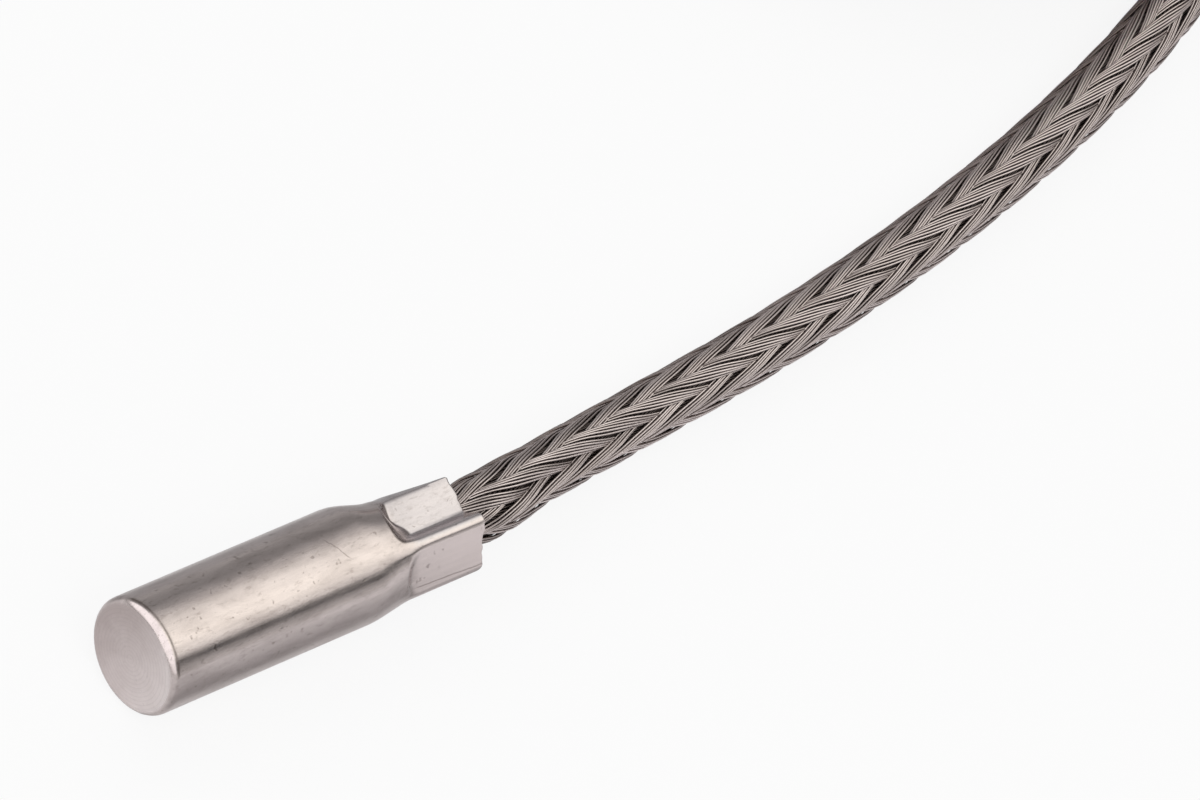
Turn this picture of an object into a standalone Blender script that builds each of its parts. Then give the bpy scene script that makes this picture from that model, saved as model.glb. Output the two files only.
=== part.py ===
# Thermocouple probe: a closed stainless capsule crimped on to a metal-braided lead, lying on its side.
# +X runs along the capsule from its closed end, +Z is up, and the closed end's flat face is at x = 0.
import bisect
import math

import bmesh
import bpy
from mathutils import Vector

MM = 0.001

# Capsule
SHEATH_DIAMETER = 6.0 * MM
SHEATH_LENGTH = 20.4 * MM
SHEATH_WALL = 0.4 * MM
END_WALL = 0.6 * MM
END_FILLET = 0.45 * MM
SHOULDER_LENGTH = 2.7 * MM
PRESS_LENGTH = 0.9 * MM
CRIMP_LENGTH = 3.4 * MM
CRIMP_TURN = math.radians(24.1)
CRIMP_FLAT_DISTANCE = 2.46 * MM

# Inside the capsule
JUNCTION_DIAMETER = 1.1 * MM
JUNCTION_PLACE = 1.9 * MM
WIRE_DIAMETER = 0.4 * MM
INSULATION_DIAMETER = 0.9 * MM
INSULATION_START = 5.0 * MM
FILLING_END = 9.0 * MM
CORE_WALL = 0.2 * MM
CORE_START = 10.0 * MM
BRAID_START = 11.5 * MM

# Lead, its coil and its free end
BRAID_DIAMETER = 3.1 * MM
BRAID_WALL = 0.3 * MM
COIL_TURNS_ACROSS = 4
COIL_TURNS_HIGH = 2
COIL_MIDDLE_DIAMETER = 34.5 * MM
COIL_CENTRE = Vector((83.0, 40.6)) * MM
TIE_WIDTH = 2.4 * MM
TIE_THICKNESS = 0.6 * MM
TIE_HEAD_HEIGHT = 1.6 * MM
TIE_ANGLES = (-12.0, 80.0, 172.0)
SLEEVE_LENGTH = 12.0 * MM
SLEEVE_OVERLAP = 5.0 * MM
SLEEVE_WALL = 0.3 * MM
BARE_END_LENGTH = 6.0 * MM

# Clearances
FIT = 0.05 * MM
MEETING_GAP = 0.3 * MM
CUTTER_EXCESS = 0.2 * MM

SHEATH_RADIUS = SHEATH_DIAMETER / 2
BORE_RADIUS = SHEATH_RADIUS - SHEATH_WALL
FLOOR = -SHEATH_RADIUS
CRIMP_START = SHEATH_LENGTH - CRIMP_LENGTH
SHOULDER_END = CRIMP_START - PRESS_LENGTH
SHOULDER_START = SHOULDER_END - SHOULDER_LENGTH
BRAID_RADIUS = BRAID_DIAMETER / 2
PAIR_SPREAD = (INSULATION_DIAMETER + FIT) / 2
JUNCTION_SPREAD = WIRE_DIAMETER / 2 + 2 * FIT
PAIR_DIRECTION = Vector((-math.cos(CRIMP_TURN), math.sin(CRIMP_TURN)))
COIL_SECTION_WIDTH = COIL_TURNS_ACROSS * BRAID_DIAMETER
COIL_SECTION_HEIGHT = COIL_TURNS_HIGH * BRAID_DIAMETER
COIL_BOTTOM = FLOOR + TIE_THICKNESS + FIT

# Crimped section, as an angle from the middle of its flat, then the radius in mm at the shoulder's end,
# where the crimp starts and at its mouth. The two halves mirror each other, and within the flat's half
# angle the last two follow from the flat's distance.
FLAT_HALF_ANGLE = 28.5
CRIMP_OUTLINE = (
    (32.0, 2.76, 2.79, 2.81),
    (34.5, 2.75, 2.68, 2.70),
    (37.5, 2.74, 2.36, 2.36),
    (40.5, 2.73, 2.00, 2.00),
    (44.0, 2.72, 1.78, 1.68),
    (48.5, 2.70, 1.68, 1.55),
    (55.5, 2.68, 1.68, 1.53),
    (66.0, 2.65, 1.75, 1.59),
    (78.0, 2.61, 1.92, 1.75),
    (89.5, 2.57, 2.16, 2.03),
    (100.0, 2.53, 2.46, 2.42),
    (106.0, 2.51, 2.48, 2.34),
    (113.0, 2.49, 2.44, 2.22),
    (125.0, 2.46, 2.40, 2.12),
    (145.0, 2.44, 2.38, 2.12),
    (162.0, 2.44, 2.38, 2.18),
    (180.0, 2.44, 2.38, 2.22),
)

# The lead's middle line from the crimp to the coil, in mm. It sinks to the floor and bends to the left.
LEAD_ROUTE = (
    (20.7, 0.0, 0.0),
    (23.0, 0.12, -0.02),
    (25.1, 0.46, -0.18),
    (27.2, 0.79, -0.48),
    (29.3, 1.12, -0.82),
    (31.5, 1.42, -1.12),
    (33.5, 1.68, -1.34),
    (35.5, 1.9, -1.44),
    (39.3, 2.24, -1.45),
    (43.2, 2.64, -1.45),
    (47.1, 3.13, -1.45),
    (51.0, 3.71, -1.45),
    (55.0, 4.39, -1.45),
    (59.1, 5.19, -1.45),
    (63.2, 6.1, -1.45),
    (67.3, 7.12, -1.45),
    (71.4, 8.28, -1.45),
    (75.6, 9.62, -1.45),
    (79.7, 11.16, -1.45),
    (83.2, 12.75, -1.41),
    (87.1, 14.8, -1.33),
)

# The lead's middle line from the coil's upper turns down to the sleeve, in mm. It crosses over the
# incoming lead and follows the coil's rim.
END_ROUTE = (
    (78.6, 15.5, 2.3),
    (82.1, 15.1, 2.1),
    (87.4, 15.5, 1.9),
    (91.8, 16.6, 1.6),
    (95.9, 18.3, 1.25),
    (99.8, 20.6, 0.8),
    (103.1, 23.8, 0.3),
    (105.9, 27.1, -0.2),
    (107.9, 30.5, -0.6),
    (109.6, 34.1, -0.85),
    (110.6, 37.7, -1.0),
    (111.1, 41.1, -1.08),
    (111.4, 44.5, -1.1),
)
END_DIRECTION = Vector((0.088, 0.996, 0.0)).normalized()

# The two tails after the sleeve's mouth, in mm.
TAIL_ROUTES = {
    "positive": (
        (112.2, 60.9, -1.5),
        (111.1, 65.4, -2.2),
        (108.8, 69.6, -2.55),
        (105.5, 73.0, -2.55),
        (101.8, 75.6, -2.55),
    ),
    "negative": (
        (113.9, 61.0, -1.5),
        (114.1, 65.9, -2.2),
        (113.2, 70.8, -2.55),
        (111.1, 75.2, -2.55),
        (108.1, 79.0, -2.55),
    ),
}


def make_material(name, colour, roughness, metallic):
    material = bpy.data.materials.new(name)
    material.use_nodes = True
    shader = material.node_tree.nodes["Principled BSDF"]
    shader.inputs["Base Color"].default_value = (*colour, 1.0)
    shader.inputs["Roughness"].default_value = roughness
    shader.inputs["Metallic"].default_value = metallic
    return material


def add_object(name, source, material):
    """Turns a bmesh into a named object whose faces point outwards."""
    bmesh.ops.recalc_face_normals(source, faces=source.faces)
    mesh = bpy.data.meshes.new(name)
    source.to_mesh(mesh)
    source.free()
    mesh.shade_smooth()
    mesh.set_sharp_from_angle(angle=math.radians(30.0))
    mesh.materials.append(material)
    placed = bpy.data.objects.new(name, mesh)
    bpy.context.scene.collection.objects.link(placed)
    return placed


def add_faces_between(mesh, row, following):
    count = len(row)
    for i in range(count):
        j = (i + 1) % count
        mesh.faces.new((row[i], row[j], following[j], following[i]))


def loft(rings):
    """A solid through rings of equal point counts, closed by a face at each end."""
    mesh = bmesh.new()
    rows = [[mesh.verts.new(point) for point in ring] for ring in rings]
    for row, following in zip(rows, rows[1:]):
        add_faces_between(mesh, row, following)
    mesh.faces.new(rows[0])
    mesh.faces.new(rows[-1])
    return mesh


def closed_loft(rings):
    """A ring-shaped solid through rings of points, the last joined back to the first."""
    mesh = bmesh.new()
    rows = [[mesh.verts.new(point) for point in ring] for ring in rings]
    for row, following in zip(rows, rows[1:] + rows[:1]):
        add_faces_between(mesh, row, following)
    return mesh


def stations(first, last, count):
    return [first + (last - first) * i / (count - 1) for i in range(count)]


def smooth_step(value):
    value = min(max(value, 0.0), 1.0)
    return value * value * (3 - 2 * value)


def polar_ring(x, radius_at, angles):
    """A ring round the capsule's axis, with its radius given by the angle from the middle of the flat."""
    ring = []
    for degrees in angles:
        turn = math.pi - CRIMP_TURN + math.radians(degrees)
        radius = radius_at(degrees)
        ring.append((x, radius * math.cos(turn), radius * math.sin(turn)))
    return ring


def even_angles(sides):
    return [360.0 * i / sides for i in range(sides)]


def section_angles():
    """Angles of the capsule's points, closest together round the flat's two ears."""
    half = [0.0, 9.5, 19.0, FLAT_HALF_ANGLE]
    half += [row[0] for row in CRIMP_OUTLINE if row[0] < 180.0]
    half += [60.5, 72.0, 84.0, 95.0, 119.0, 135.0, 153.5, 171.0]
    half.sort()
    return half + [180.0] + [360.0 - angle for angle in reversed(half) if angle > 0.0]


def section_radii(degrees):
    """Outer radii at the shoulder's end, at the crimp's start and at its mouth."""
    degrees = abs((degrees + 180.0) % 360.0 - 180.0)
    if degrees <= FLAT_HALF_ANGLE:
        on_flat = CRIMP_FLAT_DISTANCE / math.cos(math.radians(degrees))
        return CRIMP_OUTLINE[0][1] * MM, on_flat, on_flat
    points = [(FLAT_HALF_ANGLE, section_radii(FLAT_HALF_ANGLE))]
    points += [(row[0], [radius * MM for radius in row[1:]]) for row in CRIMP_OUTLINE]
    place = bisect.bisect_left([angle for angle, _ in points], degrees)
    (angle_before, before), (angle_after, after) = points[place - 1], points[place]
    share = (degrees - angle_before) / (angle_after - angle_before)
    return tuple(first + (last - first) * share for first, last in zip(before, after))


def outer_radius(x, degrees):
    """The capsule's outer radius: round up to the shoulder, narrowed by it, then pressed by the crimp."""
    shoulder, start, mouth = section_radii(degrees)
    narrowed = smooth_step((x - SHOULDER_START) / SHOULDER_LENGTH)
    pressed = min(max((x - SHOULDER_END) / PRESS_LENGTH, 0.0), 1.0)
    share = min(max((x - CRIMP_START) / CRIMP_LENGTH, 0.0), 1.0)
    radius = SHEATH_RADIUS + (shoulder - SHEATH_RADIUS) * narrowed
    return radius + (start + (mouth - start) * share - radius) * pressed


def bore_radius(x, degrees):
    """The capsule's inner radius. The crimp closes it on to the lead, and folds the ears' walls solid."""
    shaped = smooth_step((x - SHOULDER_START) / (CRIMP_START - SHOULDER_START))
    widest = BORE_RADIUS + (BRAID_RADIUS + FIT - BORE_RADIUS) * shaped
    return min(outer_radius(x, degrees) - SHEATH_WALL, widest)


def oval_radius(degrees, half_height, spread):
    """Radius of an oval of round ends, whose end circles are centred spread away along the pair's line."""
    cosine = abs(math.cos(math.radians(degrees)))
    sine = abs(math.sin(math.radians(degrees)))
    if half_height * cosine <= spread * sine:
        return half_height / sine
    return spread * cosine + math.sqrt(half_height**2 - (spread * sine) ** 2)


def circle_ring(x, radius, sides, centre=(0.0, 0.0)):
    ring = []
    for i in range(sides):
        turn = 2 * math.pi * i / sides
        ring.append((x, centre[0] + radius * math.cos(turn), centre[1] + radius * math.sin(turn)))
    return ring


def make_sheath(material):
    angles = section_angles()

    def outer_ring(x, inset=0.0):
        return polar_ring(x, lambda degrees: outer_radius(x, degrees) - inset, angles)

    def inner_ring(x):
        return polar_ring(x, lambda degrees: bore_radius(x, degrees), angles)

    rings = []
    for turn in stations(0.0, math.pi / 2, 5):
        rings.append(outer_ring(END_FILLET * (1 - math.cos(turn)), END_FILLET * (1 - math.sin(turn))))
    rings += [outer_ring(x) for x in stations(SHOULDER_START, SHOULDER_END, 7)]
    rings += [outer_ring(x) for x in stations(SHOULDER_END, CRIMP_START, 3)[1:]]
    rings += [outer_ring(x) for x in stations(CRIMP_START, SHEATH_LENGTH, 4)[1:]]
    rings += [inner_ring(x) for x in stations(SHEATH_LENGTH, CRIMP_START, 3)]
    rings += [inner_ring(x) for x in stations(CRIMP_START, SHOULDER_START, 6)[1:]]
    rings.append(inner_ring(END_WALL))
    add_object("sheath_capsule", loft(rings), material)


def add_ball(name, radius, material):
    ball = bmesh.new()
    bmesh.ops.create_uvsphere(ball, u_segments=16, v_segments=10, radius=radius)
    bmesh.ops.translate(ball, verts=ball.verts, vec=(JUNCTION_PLACE, 0.0, 0.0))
    return add_object(name, ball, material)


def cut(target, cutter):
    cutter.hide_render = True
    cutter.display_type = "WIRE"
    modifier = target.modifiers.new(cutter.name, "BOOLEAN")
    modifier.operation = "DIFFERENCE"
    modifier.solver = "EXACT"
    modifier.object = cutter


def make_filling(material):
    """Cement round the junction and the wires' ends, with a pocket for each."""
    ends = (END_WALL + FIT, FILLING_END)
    filling = add_object(
        "cement_filling", loft([circle_ring(x, BORE_RADIUS - 2 * FIT, 36) for x in ends]), material
    )
    cut(filling, add_ball("junction_pocket", JUNCTION_DIAMETER / 2 + FIT, material))
    wire_hole = WIRE_DIAMETER / 2 + FIT
    insulation_hole = INSULATION_DIAMETER / 2 + FIT
    pocket = (
        (JUNCTION_PLACE, wire_hole, JUNCTION_SPREAD),
        (INSULATION_START - 2 * FIT, wire_hole, PAIR_SPREAD),
        (INSULATION_START - FIT, insulation_hole, PAIR_SPREAD),
        (FILLING_END + CUTTER_EXCESS, insulation_hole, PAIR_SPREAD),
    )
    rings = []
    for x, half_height, spread in pocket:
        rings.append(polar_ring(x, lambda degrees: oval_radius(degrees, half_height, spread), even_angles(32)))
    cut(filling, add_object("pair_pocket", loft(rings), material))


def make_conductor(name, side, wire_material, insulation_material):
    """One thermoelement wire from the junction to the crimp's mouth, and the insulation round it."""
    at_junction = PAIR_DIRECTION * side * JUNCTION_SPREAD
    in_pair = PAIR_DIRECTION * side * PAIR_SPREAD
    wire_start = JUNCTION_PLACE + JUNCTION_DIAMETER / 2 + FIT
    wire = [
        circle_ring(wire_start, WIRE_DIAMETER / 2, 12, at_junction),
        circle_ring(INSULATION_START - 2 * FIT, WIRE_DIAMETER / 2, 12, in_pair),
        circle_ring(SHEATH_LENGTH, WIRE_DIAMETER / 2, 12, in_pair),
    ]
    add_object(name + "_thermoelement", loft(wire), wire_material)
    hole = WIRE_DIAMETER / 2 + FIT
    insulation = [
        circle_ring(INSULATION_START, INSULATION_DIAMETER / 2, 20, in_pair),
        circle_ring(SHEATH_LENGTH, INSULATION_DIAMETER / 2, 20, in_pair),
        circle_ring(SHEATH_LENGTH, hole, 20, in_pair),
        circle_ring(INSULATION_START, hole, 20, in_pair),
    ]
    add_object(name + "_insulation", closed_loft(insulation), insulation_material)


def braid_inner_radius(x, degrees):
    return min(BRAID_RADIUS, bore_radius(x, degrees) - FIT) - BRAID_WALL


def make_core_wrap(material):
    """Glass-fibre wrap round both conductors, squeezed where the crimp closes on it."""
    inside = INSULATION_DIAMETER / 2 + FIT
    angles = section_angles()

    def outer_ring(x):
        def radius(degrees):
            return min(oval_radius(degrees, inside + CORE_WALL, PAIR_SPREAD), braid_inner_radius(x, degrees) - FIT)

        return polar_ring(x, radius, angles)

    def inner_ring(x):
        return polar_ring(x, lambda degrees: oval_radius(degrees, inside, PAIR_SPREAD), angles)

    places = [CORE_START] + stations(SHOULDER_START, CRIMP_START, 5) + stations(CRIMP_START, SHEATH_LENGTH, 3)[1:]
    rings = [outer_ring(x) for x in places] + [inner_ring(SHEATH_LENGTH), inner_ring(CORE_START)]
    add_object("core_wrap", closed_loft(rings), material)


def make_clamped_braid(material):
    """The braid's end, which runs into the capsule and is gripped by the crimp."""
    angles = section_angles()

    def outer_ring(x):
        return polar_ring(x, lambda degrees: braid_inner_radius(x, degrees) + BRAID_WALL, angles)

    def inner_ring(x):
        return polar_ring(x, lambda degrees: braid_inner_radius(x, degrees), angles)

    places = [BRAID_START] + stations(SHOULDER_START, CRIMP_START, 5) + stations(CRIMP_START, SHEATH_LENGTH, 3)[1:]
    rings = [outer_ring(x) for x in places] + [inner_ring(x) for x in reversed(places)]
    add_object("clamped_braid_end", closed_loft(rings), material)


def smooth_points(knots, spacing):
    """Points at an even spacing along a smooth curve through the knots."""
    ends = [2 * knots[0] - knots[1]] + knots + [2 * knots[-1] - knots[-2]]
    fine = []
    for before, first, last, after in zip(ends, ends[1:], ends[2:], ends[3:]):
        for t in stations(0.0, 1.0, 17)[:-1]:
            slope = (last - before) * t
            bend = (2 * before - 5 * first + 4 * last - after) * t**2
            twist = (3 * first - before - 3 * last + after) * t**3
            fine.append((2 * first + slope + bend + twist) / 2)
    fine.append(knots[-1])
    lengths = [0.0]
    for first, last in zip(fine, fine[1:]):
        lengths.append(lengths[-1] + (last - first).length)
    points = []
    for wanted in stations(0.0, lengths[-1], max(2, round(lengths[-1] / spacing) + 1)):
        place = min(max(bisect.bisect_left(lengths, wanted), 1), len(lengths) - 1)
        share = (wanted - lengths[place - 1]) / (lengths[place] - lengths[place - 1])
        points.append(fine[place - 1].lerp(fine[place], share))
    return points


def add_cord(name, knots, diameter, material):
    """A round cord through the knots, with closed ends."""
    curve = bpy.data.curves.new(name, "CURVE")
    curve.dimensions = "3D"
    curve.bevel_depth = diameter / 2
    curve.bevel_resolution = 2
    curve.use_fill_caps = True
    points = smooth_points(knots, 2 * diameter)
    spline = curve.splines.new("POLY")
    spline.points.add(len(points) - 1)
    for target, point in zip(spline.points, points):
        target.co = (*point, 1.0)
    curve.materials.append(material)
    placed = bpy.data.objects.new(name, curve)
    bpy.context.scene.collection.objects.link(placed)


def route_knots(route):
    return [Vector(point) * MM for point in route]


def rounded_frame(half_width, half_height, corner, grow, steps):
    """Outline of a rectangle with round corners, grown outwards by grow."""
    outline = []
    for quarter, (side, level) in enumerate(((1, 1), (-1, 1), (-1, -1), (1, -1))):
        for turn in stations(quarter * math.pi / 2, (quarter + 1) * math.pi / 2, steps):
            across = side * (half_width - corner) + (corner + grow) * math.cos(turn)
            up = level * (half_height - corner) + (corner + grow) * math.sin(turn)
            outline.append((across, up))
    return outline


def coil_outline(grow):
    return rounded_frame(COIL_SECTION_WIDTH / 2, COIL_SECTION_HEIGHT / 2, BRAID_RADIUS, grow, 4)


def make_coil(material):
    """The wound turns as one turned ring."""
    rings = []
    for turn in stations(0.0, 2 * math.pi, 49)[:-1]:
        ring = []
        for across, up in coil_outline(0.0):
            radius = COIL_MIDDLE_DIAMETER / 2 + across
            x = COIL_CENTRE.x + radius * math.cos(turn)
            y = COIL_CENTRE.y + radius * math.sin(turn)
            ring.append((x, y, COIL_BOTTOM + COIL_SECTION_HEIGHT / 2 + up))
        rings.append(ring)
    add_object("lead_coil", closed_loft(rings), material)


def make_tie(name, degrees, material):
    """A tie round the coil's turns, with its head on top."""
    outwards = Vector((math.cos(math.radians(degrees)), math.sin(math.radians(degrees)), 0.0))
    along = Vector((-outwards.y, outwards.x, 0.0))
    middle = Vector((COIL_CENTRE.x, COIL_CENTRE.y, COIL_BOTTOM + COIL_SECTION_HEIGHT / 2))
    middle += outwards * COIL_MIDDLE_DIAMETER / 2

    def place(across, up, forward):
        return middle + outwards * across + along * forward + Vector((0.0, 0.0, up))

    sag = COIL_MIDDLE_DIAMETER / 2 + COIL_SECTION_WIDTH / 2
    sag -= math.sqrt(sag**2 - (TIE_WIDTH / 2) ** 2)
    inside = coil_outline(FIT + sag)
    outside = coil_outline(FIT + sag + TIE_THICKNESS)
    rings = []
    for outline, forward in (
        (inside, -TIE_WIDTH / 2),
        (outside, -TIE_WIDTH / 2),
        (outside, TIE_WIDTH / 2),
        (inside, TIE_WIDTH / 2),
    ):
        rings.append([place(across, up, forward) for across, up in outline])
    tie = add_object(name, closed_loft(rings), material)

    head_bottom = COIL_SECTION_HEIGHT / 2 + FIT + sag + TIE_THICKNESS / 2
    head_half = TIE_WIDTH * 0.7
    head = []
    for across in (-head_half, head_half):
        corners = ((-head_half, 0.0), (head_half, 0.0), (head_half, TIE_HEAD_HEIGHT), (-head_half, TIE_HEAD_HEIGHT))
        head.append([place(across, head_bottom + up, forward) for forward, up in corners])
    helper = add_object(name + "_head", loft(head), material)
    helper.hide_render = True
    helper.display_type = "WIRE"
    modifier = tie.modifiers.new(helper.name, "BOOLEAN")
    modifier.operation = "UNION"
    modifier.solver = "EXACT"
    modifier.object = helper


def braid_end():
    """Where the lead's braid is cut, inside the sleeve."""
    return Vector(END_ROUTE[-1]) * MM + END_DIRECTION * SLEEVE_OVERLAP


def frame_ring(centre, outline):
    """A ring square to the free end's direction, from points given across and up."""
    across_axis = Vector((-END_DIRECTION.y, END_DIRECTION.x, 0.0))
    return [centre + across_axis * across + Vector((0.0, 0.0, up)) for across, up in outline]


def round_outline(radius, sides):
    return [
        (radius * math.cos(2 * math.pi * i / sides), radius * math.sin(2 * math.pi * i / sides))
        for i in range(sides)
    ]


def oval_outline(half_height, spread, sides):
    outline = []
    for i in range(sides):
        degrees = 360.0 * i / sides
        radius = oval_radius(degrees, half_height, spread)
        outline.append((radius * math.cos(math.radians(degrees)), radius * math.sin(math.radians(degrees))))
    return outline


def make_sleeve(material):
    """Shrunk sleeve over the braid's cut end, with the two tails coming out of its mouth."""
    back = Vector(END_ROUTE[-1]) * MM
    shoulder = braid_end() + END_DIRECTION * MEETING_GAP
    front = back + END_DIRECTION * SLEEVE_LENGTH
    hole = round_outline(BRAID_RADIUS + FIT, 32)
    skin = round_outline(BRAID_RADIUS + FIT + SLEEVE_WALL, 32)
    mouth_hole = oval_outline(INSULATION_DIAMETER / 2 + FIT, PAIR_SPREAD, 32)
    mouth_skin = oval_outline(INSULATION_DIAMETER / 2 + FIT + SLEEVE_WALL, PAIR_SPREAD, 32)
    rings = [
        frame_ring(back, skin),
        frame_ring(shoulder, skin),
        frame_ring(shoulder + END_DIRECTION * SLEEVE_OVERLAP / 2, mouth_skin),
        frame_ring(front, mouth_skin),
        frame_ring(front, mouth_hole),
        frame_ring(shoulder + END_DIRECTION * SLEEVE_WALL, mouth_hole),
        frame_ring(shoulder, hole),
        frame_ring(back, hole),
    ]
    add_object("end_sleeve", closed_loft(rings), material)


def make_tail(name, side, insulation_material, wire_material):
    """One insulated tail from inside the sleeve, and the bare wire at its end."""
    across = Vector((-END_DIRECTION.y, END_DIRECTION.x, 0.0)) * side * PAIR_SPREAD
    inside = braid_end() + END_DIRECTION * (MEETING_GAP + SLEEVE_WALL + FIT) + across
    mouth = Vector(END_ROUTE[-1]) * MM + END_DIRECTION * SLEEVE_LENGTH + across
    knots = [inside, inside.lerp(mouth, 0.5), mouth] + route_knots(TAIL_ROUTES[name])
    add_cord(name + "_tail", knots, INSULATION_DIAMETER, insulation_material)
    direction = (knots[-1] - knots[-2]).normalized()
    start = knots[-1] + direction * MEETING_GAP
    add_cord(name + "_bare_end", [start, start + direction * BARE_END_LENGTH], WIRE_DIAMETER, wire_material)


def main():
    for old in list(bpy.data.objects):
        bpy.data.objects.remove(old)
    stainless = make_material("stainless_sheath", (0.66, 0.63, 0.60), 0.28, 1.0)
    braid = make_material("stainless_braid", (0.42, 0.40, 0.38), 0.38, 1.0)
    cement = make_material("ceramic_cement", (0.78, 0.76, 0.70), 0.9, 0.0)
    glass_fibre = make_material("glass_fibre", (0.86, 0.84, 0.78), 0.8, 0.0)
    sleeve = make_material("shrunk_sleeve", (0.03, 0.03, 0.03), 0.5, 0.0)
    tie = make_material("tie_nylon", (0.80, 0.80, 0.76), 0.5, 0.0)
    junction = make_material("welded_junction", (0.40, 0.38, 0.36), 0.45, 1.0)
    wires = {
        "positive": make_material("nickel_chromium_wire", (0.55, 0.52, 0.48), 0.35, 1.0),
        "negative": make_material("nickel_aluminium_wire", (0.50, 0.49, 0.48), 0.35, 1.0),
    }
    tails = {
        "positive": make_material("green_insulation", (0.05, 0.30, 0.12), 0.7, 0.0),
        "negative": make_material("white_insulation", (0.85, 0.84, 0.80), 0.7, 0.0),
    }

    make_sheath(stainless)
    add_ball("hot_junction", JUNCTION_DIAMETER / 2, junction)
    make_filling(cement)
    make_core_wrap(glass_fibre)
    make_clamped_braid(braid)
    add_cord("braided_lead", route_knots(LEAD_ROUTE), BRAID_DIAMETER, braid)
    make_coil(braid)
    for number, degrees in enumerate(TIE_ANGLES, start=1):
        make_tie(f"coil_tie_{number}", degrees, tie)
    add_cord("lead_free_end", route_knots(END_ROUTE) + [braid_end()], BRAID_DIAMETER, braid)
    make_sleeve(sleeve)
    for name, side in (("positive", 1), ("negative", -1)):
        make_conductor(name, side, wires[name], glass_fibre)
        make_tail(name, side, tails[name], wires[name])


main()
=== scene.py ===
# Thermocouple probe: a crimped stainless capsule on a wire-braided lead, lying on a white table.
# Sizes are in millimetres until they are multiplied by mm. +X runs from the closed end to the lead.
import math

import bmesh
import bpy
import numpy as np
from mathutils import Matrix, Vector


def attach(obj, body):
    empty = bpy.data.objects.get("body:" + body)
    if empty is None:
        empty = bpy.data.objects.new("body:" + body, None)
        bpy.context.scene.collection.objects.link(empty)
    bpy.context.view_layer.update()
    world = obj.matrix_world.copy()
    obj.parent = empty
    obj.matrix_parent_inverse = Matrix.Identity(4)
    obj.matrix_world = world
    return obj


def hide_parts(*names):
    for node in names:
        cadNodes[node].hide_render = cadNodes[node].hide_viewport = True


mm = 0.001
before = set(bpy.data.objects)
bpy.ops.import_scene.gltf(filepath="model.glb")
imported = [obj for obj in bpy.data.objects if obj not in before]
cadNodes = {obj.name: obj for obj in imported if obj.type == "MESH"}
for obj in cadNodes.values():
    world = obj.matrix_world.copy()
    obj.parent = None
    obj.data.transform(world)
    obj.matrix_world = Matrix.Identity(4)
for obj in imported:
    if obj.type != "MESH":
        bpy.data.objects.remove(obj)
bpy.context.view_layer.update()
print("frame loaded:", len(cadNodes), "nodes")


# camera

cameraSpot = {
    "place": (-317.54, -188.46, 421.77),
    "right": (0.7341, -0.5858, 0.3436),
    "back": (-0.6030, -0.3295, 0.7265),
    "lens": 355.07,
}


def addObject(name, data):
    added = bpy.data.objects.new(name, data)
    bpy.context.scene.collection.objects.link(added)
    return added


def makeCamera(spot):
    data = bpy.data.cameras.new("photo_camera")
    data.sensor_width = 36.0
    data.lens = spot["lens"]
    data.clip_start = 0.05
    data.clip_end = 8.0
    holder = addObject("photo_camera", data)
    back = Vector(spot["back"]).normalized()
    up = back.cross(Vector(spot["right"])).normalized()
    right = up.cross(back)
    turn = Matrix((right, up, back)).transposed().to_4x4()
    holder.matrix_world = Matrix.Translation(Vector(spot["place"]) * mm) @ turn
    bpy.context.scene.camera = holder


makeCamera(cameraSpot)
bpy.context.scene.view_settings.view_transform = "Standard"
print("camera placed")

# degrees round the capsule count from straight at the camera towards the table's front; this is
# the middle of the crimp's large flat
flatTurn = 41.5


def aroundCapsule(degrees):
    back = Vector(cameraSpot["back"])
    towards = Vector((0.0, back.y, back.z)).normalized()
    front = Vector((0.0, -towards.z, towards.y))
    turn = math.radians(degrees)
    return math.cos(turn) * towards + math.sin(turn) * front


# small helpers for node trees

def addNode(tree, kind, **settings):
    node = tree.nodes.new(kind)
    for name, value in settings.items():
        setattr(node, name, value)
    return node


def feed(tree, socket, value):
    if isinstance(value, bpy.types.NodeSocket):
        tree.links.new(value, socket)
    elif value is not None:
        socket.default_value = value


def fedNode(tree, kind, feeds, **settings):
    node = addNode(tree, kind, **settings)
    for name, value in feeds.items():
        feed(tree, node.inputs[name], value)
    return node


def partsOf(tree, vector):
    return fedNode(tree, "ShaderNodeSeparateXYZ", {"Vector": vector}).outputs


def calc(tree, operation, first, second=None, third=None, clamp=False):
    node = addNode(tree, "ShaderNodeMath", operation=operation, use_clamp=clamp)
    for socket, value in zip(node.inputs, (first, second, third)):
        feed(tree, socket, value)
    return node.outputs[0]


def vectorCalc(tree, operation, first, second=None, scale=None):
    node = addNode(tree, "ShaderNodeVectorMath", operation=operation)
    feed(tree, node.inputs[0], first)
    feed(tree, node.inputs[1], second)
    if scale is not None:
        feed(tree, node.inputs["Scale"], scale)
    return node.outputs["Value" if operation in ("DOT_PRODUCT", "LENGTH") else "Vector"]


def spread(tree, value, fromLow, fromHigh, toLow=0.0, toHigh=1.0, smooth=True):
    limits = {"From Min": fromLow, "From Max": fromHigh, "To Min": toLow, "To Max": toHigh}
    kind = "SMOOTHSTEP" if smooth else "LINEAR"
    node = fedNode(tree, "ShaderNodeMapRange", {"Value": value, **limits}, interpolation_type=kind)
    return node.outputs["Result"]


def edge(tree, value, limits, *levels):
    return spread(tree, value, limits[0] * mm, limits[1] * mm, *levels)


def product(tree, value, *factors):
    for factor in factors:
        value = calc(tree, "MULTIPLY", value, factor)
    return value


def roughened(tree, value, pattern, reach):
    return calc(tree, "MULTIPLY_ADD", calc(tree, "SUBTRACT", pattern, 0.5), reach * mm, value)


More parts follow.
